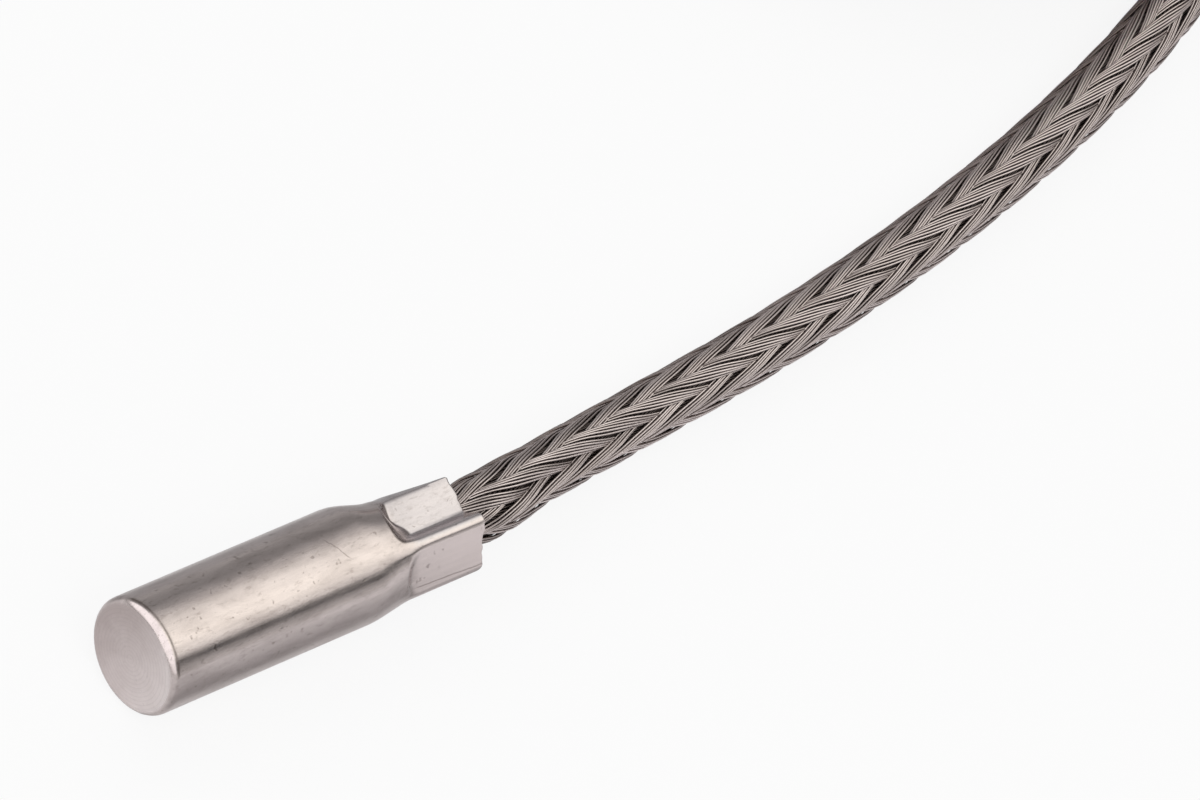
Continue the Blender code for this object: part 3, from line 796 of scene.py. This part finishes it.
def makeCapsule(form):
    half = halfOutline(form)
    mirrored = half[-2:0:-1].copy()
    mirrored[:, (0, 3)] = 360.0 - mirrored[:, (0, 3)]
    points = np.vstack([half, mirrored])
    fromFlat = np.minimum(points[:, 0], 360.0 - points[:, 0])
    marks = np.array(form["pressMarks"])
    markStart = np.interp(fromFlat, marks[:, 0], marks[:, 1])
    markWhole = np.interp(fromFlat, marks[:, 0], marks[:, 2])
    first, last = form["shoulder"]
    length, radius = form["length"], form["radius"]

    def ring(x, inset=0.0, bore=None):
        narrowed = smoothStep((x - first) / (last - first))
        share = min(max((x - form["crimpStart"]) / (length - form["crimpStart"]), 0.0), 1.0)
        row = []
        for number, (start, shoulder, crimp, mouthTurn, mouth) in enumerate(points):
            size = radius + (shoulder - radius) * narrowed
            pressed = smoothStep((x - markStart[number]) / (markWhole[number] - markStart[number]))
            size += (crimp + (mouth - crimp) * share - size) * pressed
            degrees = flatTurn + start + (mouthTurn - start) * share
            size -= inset
            if bore is not None:
                shaped = smoothStep((x - first) / (form["crimpStart"] - first))
                widest = radius - form["wall"] + (form["innerRadius"] - radius + form["wall"]) * shaped
                size = min(size - bore, widest)
            turn = math.radians(degrees)
            worn = sum(height * math.sin(count * turn + lag) for height, count, lag in form["waves"]) - 1.5
            at = x + form["ragged"] * worn * smoothStep((x - length + 0.6) / 0.6)
            row.append((Vector((at, 0.0, 0.0)) + aroundCapsule(degrees) * size) * mm)
        return row

    fillet = form["fillet"]
    rings = []
    for share in (0.25, 0.55, 0.8):
        rings.append(ring(0.0, radius - (radius - fillet) * share))
    for step in range(9):
        turn = math.pi / 2 * step / 8
        rings.append(ring(fillet * (1 - math.cos(turn)), fillet * (1 - math.sin(turn))))
    for start, end, count in form["rings"]:
        rings += [ring(x) for x in np.linspace(start, end, count)]
    rings += [ring(length - 0.04, 0.015), ring(length, 0.05)]
    rim = form["rim"]
    rings += [ring(length, bore=rim + 0.03), ring(length - 0.03, bore=rim + 0.06)]
    rings += [ring(length - 0.5, bore=rim + 0.12), ring(length - 1.2, bore=form["wall"])]
    rings += [ring(x, bore=form["wall"]) for x in np.linspace(length - 1.6, first, 16)]
    rings.append(ring(0.6, bore=form["wall"]))
    mesh = loftMesh("capsule", rings)
    mesh.set_sharp_from_angle(angle=math.radians(38.0))
    return addPiece("capsule", mesh, "capsule", ["sheath_capsule"])


capsule = makeCapsule(capsuleForm)
print("capsule made:", len(capsule.data.polygons), "faces")


# lead: its middle line, repeated from the part's source, and the turns that its ring stands for

leadForm = {
    "diameter": 3.1,
    "braidRadius": 1.335,
    "layerStep": 0.152,
    "wireDiameter": 0.132,
    "wiresPerCarrier": 5,
    "carriersEachWay": 12,
    "passedOver": 3,
    "layLength": 43.5,
    "bunching": 0.30,
    "stacking": 1.1,
    "crown": 0.018,
    "clampStart": 18.8,
    "mouth": 20.7,
    # past the mouth, in mm: where the grip lets go, the swelling grows and it ends again
    "gripEdge": (-1.9, 0.9),
    "grip": -0.27,
    "swellEdge": (0.0, 1.6),
    "calmEdge": (2.2, 6.5),
    "wiresShownTo": 70.0,
    "coreRadius": 1.15,
    "phase": -3.15,
    "coilCentre": (83.0, 40.6),
    "coilMiddleDiameter": 34.5,
    "turnPitch": 3.1,
    "turnHeights": (-0.8, 2.3),
    "entryAngle": -41.0,
    "stepIn": 150.0,
    "stepOutStart": -195.0,
    "stepOut": 130.0,
    "sleeveOverlap": 5.0,
    "nodes": ["braided_lead", "lead_coil", "lead_free_end"],
}
leadRoute = (
    (20.7, 0.0, 0.0),
    (23.0, 0.12, -0.02),
    (25.1, 0.46, -0.18),
    (27.2, 0.79, -0.48),
    (29.3, 1.12, -0.82),
    (31.5, 1.42, -1.12),
    (33.5, 1.68, -1.34),
    (35.5, 1.9, -1.44),
    (39.3, 2.24, -1.45),
    (43.2, 2.64, -1.45),
    (47.1, 3.13, -1.45),
    (51.0, 3.71, -1.45),
    (55.0, 4.39, -1.45),
    (59.1, 5.19, -1.45),
    (63.2, 6.1, -1.45),
    (67.3, 7.12, -1.45),
    (71.4, 8.28, -1.45),
    (75.6, 9.62, -1.45),
    (79.7, 11.16, -1.45),
    (83.2, 12.75, -1.41),
    (87.1, 14.8, -1.33),
)
entryRoute = ((91.7, 17.8, -1.15), (95.4, 21.1, -0.98), (98.0, 23.9, -0.86))
endRoute = (
    (82.1, 15.1, 2.1),
    (87.4, 15.5, 1.9),
    (91.8, 16.6, 1.6),
    (95.9, 18.3, 1.25),
    (99.8, 20.6, 0.8),
    (103.1, 23.8, 0.3),
    (105.9, 27.1, -0.2),
    (107.9, 30.5, -0.6),
    (109.6, 34.1, -0.85),
    (110.6, 37.7, -1.0),
    (111.1, 41.1, -1.08),
    (111.4, 44.5, -1.1),
)
endDirection = Vector((0.088, 0.996, 0.0)).normalized()


def coilTurns(form):
    pitch, stepIn = form["turnPitch"], form["stepIn"]
    low, high = form["turnHeights"]
    outermost = form["coilMiddleDiameter"] / 2 + 1.5 * pitch
    start = form["entryAngle"]
    turns = []
    # four turns inwards on the floor, then four outwards on top of them
    last = start + 8 * 360 + form["stepOutStart"] + form["stepOut"]
    for angle in np.arange(start, last + 0.1, 10.0):
        wound = angle - start
        radius = outermost
        for k in range(3):
            radius -= pitch * smoothStep((wound - 360 * (k + 1) + stepIn) / stepIn)
        rolled = smoothStep((wound - 4 * 360 + stepIn) / stepIn)
        level = low + (high - low) * math.sqrt(1 - (1 - rolled) ** 2)
        for k in range(4):
            moved = smoothStep((wound - 360 * (k + 5) - form["stepOutStart"]) / form["stepOut"])
            radius += (pitch if k < 3 else pitch + 0.3) * moved
        turn = math.radians(angle)
        x = form["coilCentre"][0] + radius * math.cos(turn)
        y = form["coilCentre"][1] + radius * math.sin(turn)
        turns.append((x, y, level))
    return turns


def evenPoints(knots, spacing):
    knots = np.array(knots, float)
    knots = np.vstack([2 * knots[0] - knots[1], knots, 2 * knots[-1] - knots[-2]])
    fine = []
    for a, b, c, d in zip(knots, knots[1:], knots[2:], knots[3:]):
        fine += [curveThrough(a, b, c, d, t) for t in np.linspace(0, 1, 13)[:-1]]
    fine.append(knots[-2])
    fine = np.array(fine)
    run = np.r_[0, np.cumsum(np.linalg.norm(np.diff(fine, axis=0), axis=1))]
    wanted = np.linspace(0, run[-1], int(run[-1] / spacing) + 1)
    return np.stack([np.interp(wanted, run, fine[:, k]) for k in range(3)], axis=1), run[-1]


braidEnd = Vector(endRoute[-1]) + endDirection * leadForm["sleeveOverlap"]
leadKnots = [*leadRoute, *entryRoute, *coilTurns(leadForm), *endRoute, tuple(braidEnd)]
leadPoints, leadLength = evenPoints(leadKnots, 0.75)
clampPoints = [(x, 0.0, 0.0) for x in np.arange(leadForm["clampStart"], leadForm["mouth"] - 0.1, 0.75)]
braidPoints = np.vstack([clampPoints, leadPoints])
print("lead length in mm:", round(leadLength, 1))


def pathMesh(name, points):
    mesh = bpy.data.meshes.new(name)
    edges = [(i, i + 1) for i in range(len(points) - 1)]
    mesh.from_pydata([tuple(p * mm) for p in np.array(points)], edges, [])
    return addObject(name, mesh)


def growMesh(name, base, tree, values):
    modifier = base.modifiers.new(name, "NODES")
    modifier.node_group = tree
    for item in tree.interface.items_tree:
        if item.item_type == "SOCKET" and item.in_out == "INPUT" and item.name in values:
            modifier[item.identifier] = values[item.name]
    bpy.context.view_layer.update()
    graph = bpy.context.evaluated_depsgraph_get()
    grown = base.evaluated_get(graph)
    mesh = bpy.data.meshes.new_from_object(grown, preserve_all_data_layers=True, depsgraph=graph)
    base.modifiers.remove(modifier)
    mesh.name = name
    return mesh


def makeBraidTree(form):
    tree, given, made = startTree(
        "GeometryNodeTree",
        "wound_wires",
        (
            ("Geometry", "Geometry", None),
            ("Wires per carrier", "Int", 5),
            ("Carriers", "Int", 12),
            ("Passed over", "Int", 3),
            ("Hand", "Float", 1.0),
            ("Lay length", "Float", 0.0435),
            ("Strand width", "Float", 0.00014),
            ("Strand height", "Float", 0.00014),
            ("Sides", "Int", 6),
            ("Wire step", "Float", 0.1),
            ("Bunching", "Float", 0.2),
            ("Crown", "Float", 0.00001),
            ("Braid radius", "Float", 0.001365),
            ("Layer step", "Float", 0.000115),
            ("Start", "Float", 0.0),
            ("End", "Float", 0.07),
            ("Point spacing", "Float", 0.0004),
            ("Phase", "Float", 0.0),
            ("Mouth", "Float", 0.0019),
            ("Bulge", "Float", 0.12),
            ("Strays", "Float", 0.02),
            ("Seed", "Int", 3),
            ("Finish", "Material", None),
        ),
        (("Geometry", "Geometry"),),
    )

    def reckon(operation, first, second=None, third=None):
        return calc(tree, operation, first, second, third)

    def times(*factors):
        return product(tree, *factors)

    def grow(kind, feeds, **settings):
        return fedNode(tree, "GeometryNode" + kind, feeds, **settings).outputs

    def keepValue(geometry, name, value):
        feeds = {"Geometry": geometry, "Name": name, "Value": value}
        return grow("StoreNamedAttribute", feeds, data_type="FLOAT", domain="POINT")["Geometry"]

    # every wire starts as a straight line, and its points are then placed round the lead's middle line
    line = grow("CurvePrimitiveLine", {"End": (1.0, 0.0, 0.0)}, mode="POINTS")["Curve"]
    shown = reckon("SUBTRACT", given["End"], given["Start"])
    count = reckon("CEIL", reckon("DIVIDE", shown, given["Point spacing"]))
    evened = grow("ResampleCurve", {"Curve": line, "Count": count})["Curve"]
    perCarrier = given["Wires per carrier"]
    amount = times(perCarrier, given["Carriers"])
    copies = grow("DuplicateElements", {"Geometry": evened, "Amount": amount}, domain="SPLINE")
    number = copies["Duplicate Index"]
    carrier = reckon("FLOOR", reckon("DIVIDE", reckon("ADD", number, 0.5), perCarrier))
    inCarrier = reckon("SUBTRACT", number, times(carrier, perCarrier))
    offCentre = reckon("SUBTRACT", inCarrier, times(reckon("SUBTRACT", perCarrier, 1.0), 0.5))

    factor = grow("SplineParameter", {})["Factor"]
    along = reckon("MULTIPLY_ADD", factor, shown, given["Start"])
    path = grow("MeshToCurve", {"Mesh": given["Geometry"]})["Curve"]
    sampled = grow("SampleCurve", {"Curves": path, "Length": along}, mode="LENGTH", use_all_curves=False)

    seeded = {"ID": number, "Seed": given["Seed"]}
    toss = fedNode(tree, "FunctionNodeRandomValue", seeded, data_type="FLOAT")
    tone = next(s for s in toss.outputs if s.enabled)
    lane = reckon("MULTIPLY_ADD", number, 7.31, times(given["Seed"], 91.7))
    spot = fedNode(tree, "ShaderNodeCombineXYZ", {"X": times(along, 260.0), "Y": lane}).outputs[0]
    feeds = {"Vector": spot, "Scale": 1.0, "Detail": 1.0}
    stray = fedNode(tree, "ShaderNodeTexNoise", feeds, noise_dimensions="2D").outputs["Fac"]
    strayed = times(reckon("SUBTRACT", stray, 0.5), given["Strays"])

    wound = reckon("DIVIDE", reckon("SUBTRACT", along, given["Phase"]), given["Lay length"])
    wound = times(wound, given["Hand"])

    # place counts the crossings along a carrier, which lies over as many as "Passed over" says
    crossings = times(wound, times(given["Carriers"], 2.0))
    place = reckon("MULTIPLY_ADD", carrier, 2.0, crossings)
    sideways = times(offCentre, given["Wire step"])
    place = reckon("ADD", place, times(sideways, reckon("DIVIDE", given["Carriers"], math.tau)))
    half = times(given["Passed over"], 0.5)
    overCentre = reckon("MULTIPLY_ADD", half, reckon("SUBTRACT", 2.0, given["Hand"]), -0.5)
    swing = reckon("SUBTRACT", place, overCentre)
    swing = reckon("COSINE", times(swing, reckon("DIVIDE", math.pi, given["Passed over"])))
    lifted = reckon("MINIMUM", reckon("MAXIMUM", times(swing, 1.3), -1.0), 1.0)

    # a carrier's wires crowd together and stack up between its high and low places
    bunched = times(reckon("SUBTRACT", 1.0, times(swing, swing)), given["Bunching"])
    sideways = times(sideways, reckon("SUBTRACT", 1.0, bunched))
    angle = reckon("ADD", wound, reckon("DIVIDE", carrier, given["Carriers"]))
    angle = reckon("MULTIPLY_ADD", angle, math.tau, sideways)
    angle = reckon("ADD", angle, strayed)

    # the crimp grips the braid, which swells just past the mouth
    pastMouth = reckon("SUBTRACT", along, given["Mouth"])
    gripped = edge(tree, pastMouth, form["gripEdge"], form["grip"], 0.0)
    swell = edge(tree, pastMouth, form["swellEdge"])
    calm = edge(tree, pastMouth, form["calmEdge"], 1.0, 0.0)
    sizing = reckon("ADD", reckon("ADD", gripped, times(swell, calm, given["Bulge"])), 1.0)
    radius = reckon("MULTIPLY_ADD", lifted, given["Layer step"], given["Braid radius"])
    radius = reckon("MULTIPLY_ADD", strayed, 0.6 * mm, radius)
    alternate = reckon("SUBTRACT", reckon("FLOORED_MODULO", inCarrier, 2.0), 0.5)
    stacked = times(alternate, bunched, given["Strand height"])
    radius = reckon("MULTIPLY_ADD", stacked, form["stacking"], radius)
    radius = reckon("SUBTRACT", radius, times(offCentre, offCentre, given["Crown"]))
    radius = times(radius, sizing)

    tangent = sampled["Tangent"]
    side = vectorCalc(tree, "NORMALIZE", vectorCalc(tree, "CROSS_PRODUCT", (0.0, 0.0, 1.0), tangent))
    lift = vectorCalc(tree, "CROSS_PRODUCT", tangent, side)
    sidePart = vectorCalc(tree, "SCALE", side, scale=reckon("COSINE", angle))
    liftPart = vectorCalc(tree, "SCALE", lift, scale=reckon("SINE", angle))
    outward = vectorCalc(tree, "ADD", sidePart, liftPart)
    reach = vectorCalc(tree, "SCALE", outward, scale=radius)
    position = vectorCalc(tree, "ADD", sampled["Position"], reach)

    kept = keepValue(copies["Geometry"], "wire_tone", tone)
    kept = keepValue(kept, "layer_depth", lifted)
    keepOut = addNode(tree, "GeometryNodeCaptureAttribute", domain="POINT")
    keepOut.capture_items.new("VECTOR", "Outward")
    feed(tree, keepOut.inputs["Geometry"], kept)
    feed(tree, keepOut.inputs["Outward"], outward)
    kept = keepOut.outputs
    moved = grow("SetPosition", {"Geometry": kept["Geometry"], "Position": position})["Geometry"]
    faced = grow("SetCurveNormal", {"Curve": moved, "Normal": kept["Outward"]}, mode="FREE")

    # the wire's outline, with each point's place across it kept for the finish
    circle = grow("CurvePrimitiveCircle", {"Radius": 0.5, "Resolution": given["Sides"]}, mode="RADIUS")
    across = partsOf(tree, grow("InputPosition", {})[0])[1]
    outline = keepValue(circle["Curve"], "across_ribbon", across)
    sizes = {"X": given["Strand height"], "Y": given["Strand width"], "Z": 1.0}
    aspect = fedNode(tree, "ShaderNodeCombineXYZ", sizes).outputs[0]
    outline = grow("Transform", {"Geometry": outline, "Scale": aspect})["Geometry"]

    feeds = {"Curve": faced["Curve"], "Profile Curve": outline, "Fill Caps": True}
    solid = grow("CurveToMesh", feeds)["Mesh"]
    smooth = grow("SetShadeSmooth", {"Geometry": solid})["Geometry"]
    real = grow("RealizeInstances", {"Geometry": smooth})["Geometry"]
    painted = grow("SetMaterial", {"Geometry": real, "Material": given["Finish"]})["Geometry"]
    tree.links.new(painted, made["Geometry"])
    return tree


braidTree = makeBraidTree(leadForm)


def makeBraid(form):
    base = pathMesh("lead_middle_line", braidPoints)
    total = float(np.linalg.norm(np.diff(braidPoints, axis=0), axis=1).sum())
    radius = form["braidRadius"]
    helix = math.atan(math.tau * radius / form["layLength"])
    shared = {
        "Carriers": form["carriersEachWay"],
        "Passed over": form["passedOver"],
        "Bunching": form["bunching"],
        "Crown": form["crown"] * mm,
        "Lay length": form["layLength"] * mm,
        "Braid radius": radius * mm,
        "Layer step": form["layerStep"] * mm,
        "Phase": form["phase"] * mm,
        "Mouth": (form["mouth"] - form["clampStart"]) * mm,
    }
    pieces = []
    for hand, side in ((1.0, "right"), (-1.0, "left")):
        values = {
            **shared,
            "Wires per carrier": form["wiresPerCarrier"],
            "Hand": hand,
            "Strand width": form["wireDiameter"] * mm,
            "Strand height": form["wireDiameter"] * mm,
            "Sides": 6,
            "Wire step": 1.02 * form["wireDiameter"] / (radius * math.cos(helix)),
            "Start": 0.0,
            "End": form["wiresShownTo"] * mm,
            "Point spacing": 0.4 * mm,
            "Seed": 3 if hand > 0 else 8,
            "Finish": finishes["braid"],
        }
        mesh = growMesh(f"braid_wires_{side}", base, braidTree, values)
        pieces.append(addPiece(f"braid_wires_{side}", mesh, "braid", ["braided_lead"]))
        values.update({
            "Wires per carrier": 1,
            "Strand width": 4.8 * form["wireDiameter"] * mm,
            "Strand height": 1.15 * form["wireDiameter"] * mm,
            "Start": (form["wiresShownTo"] - 0.2) * mm,
            "End": total * mm,
            "Point spacing": 0.95 * mm,
            "Strays": 0.01,
            "Finish": finishes["ribbon"],
        })
        mesh = growMesh(f"braid_ribbons_{side}", base, braidTree, values)
        pieces.append(addPiece(f"braid_ribbons_{side}", mesh, "ribbon", form["nodes"]))
    bpy.data.objects.remove(base)
    return pieces


def tubeMesh(name, points, radius, sides):
    points = [Vector(p) for p in points]
    rings = []
    for number, point in enumerate(points):
        ahead = points[min(number + 1, len(points) - 1)]
        behind = points[max(number - 1, 0)]
        tangent = (ahead - behind).normalized()
        side = Vector((0.0, 0.0, 1.0)).cross(tangent).normalized()
        lift = tangent.cross(side)
        ring = []
        for i in range(sides):
            turn = math.tau * i / sides
            ring.append((point + (side * math.cos(turn) + lift * math.sin(turn)) * radius) * mm)
        rings.append(ring)
    return loftMesh(name, rings)


braidPieces = makeBraid(leadForm)
for piece in braidPieces:
    print(piece.name, len(piece.data.polygons), "faces")
# a dark tube under the braid whose colour is painted shade for the gaps between the wires
coreMesh = tubeMesh("lead_core_painted_shade", braidPoints[::2], leadForm["coreRadius"], 12)
core = addPiece("lead_core_painted_shade", coreMesh, "core", leadForm["nodes"])

# finishes on the part's own nodes

nodeFinishes = {
    "cement_filling": ("cement", "ceramic_cement"),
    "hot_junction": ("junction", "welded_junction"),
    "positive_thermoelement": ("positive", "positive_wire"),
    "negative_thermoelement": ("negative", "negative_wire"),
    "positive_insulation": ("glass", "glass_fibre"),
    "negative_insulation": ("glass", "glass_fibre"),
    "core_wrap": ("glass", "glass_fibre"),
    "clamped_braid_end": ("ribbon", "stainless_braid"),
    "coil_tie_1": ("tie", "tie_nylon"),
    "coil_tie_2": ("tie", "tie_nylon"),
    "coil_tie_3": ("tie", "tie_nylon"),
    "end_sleeve": ("sleeve", "shrunk_sleeve"),
    "positive_tail": ("greenTail", "positive_insulation"),
    "negative_tail": ("whiteTail", "negative_insulation"),
    "positive_bare_end": ("positive", "positive_wire"),
    "negative_bare_end": ("negative", "negative_wire"),
}

for name, (finish, recordSlot) in nodeFinishes.items():
    node = cadNodes[name]
    node.data.materials.clear()
    node.data.materials.append(finishes[finish])
print("nodes dressed")
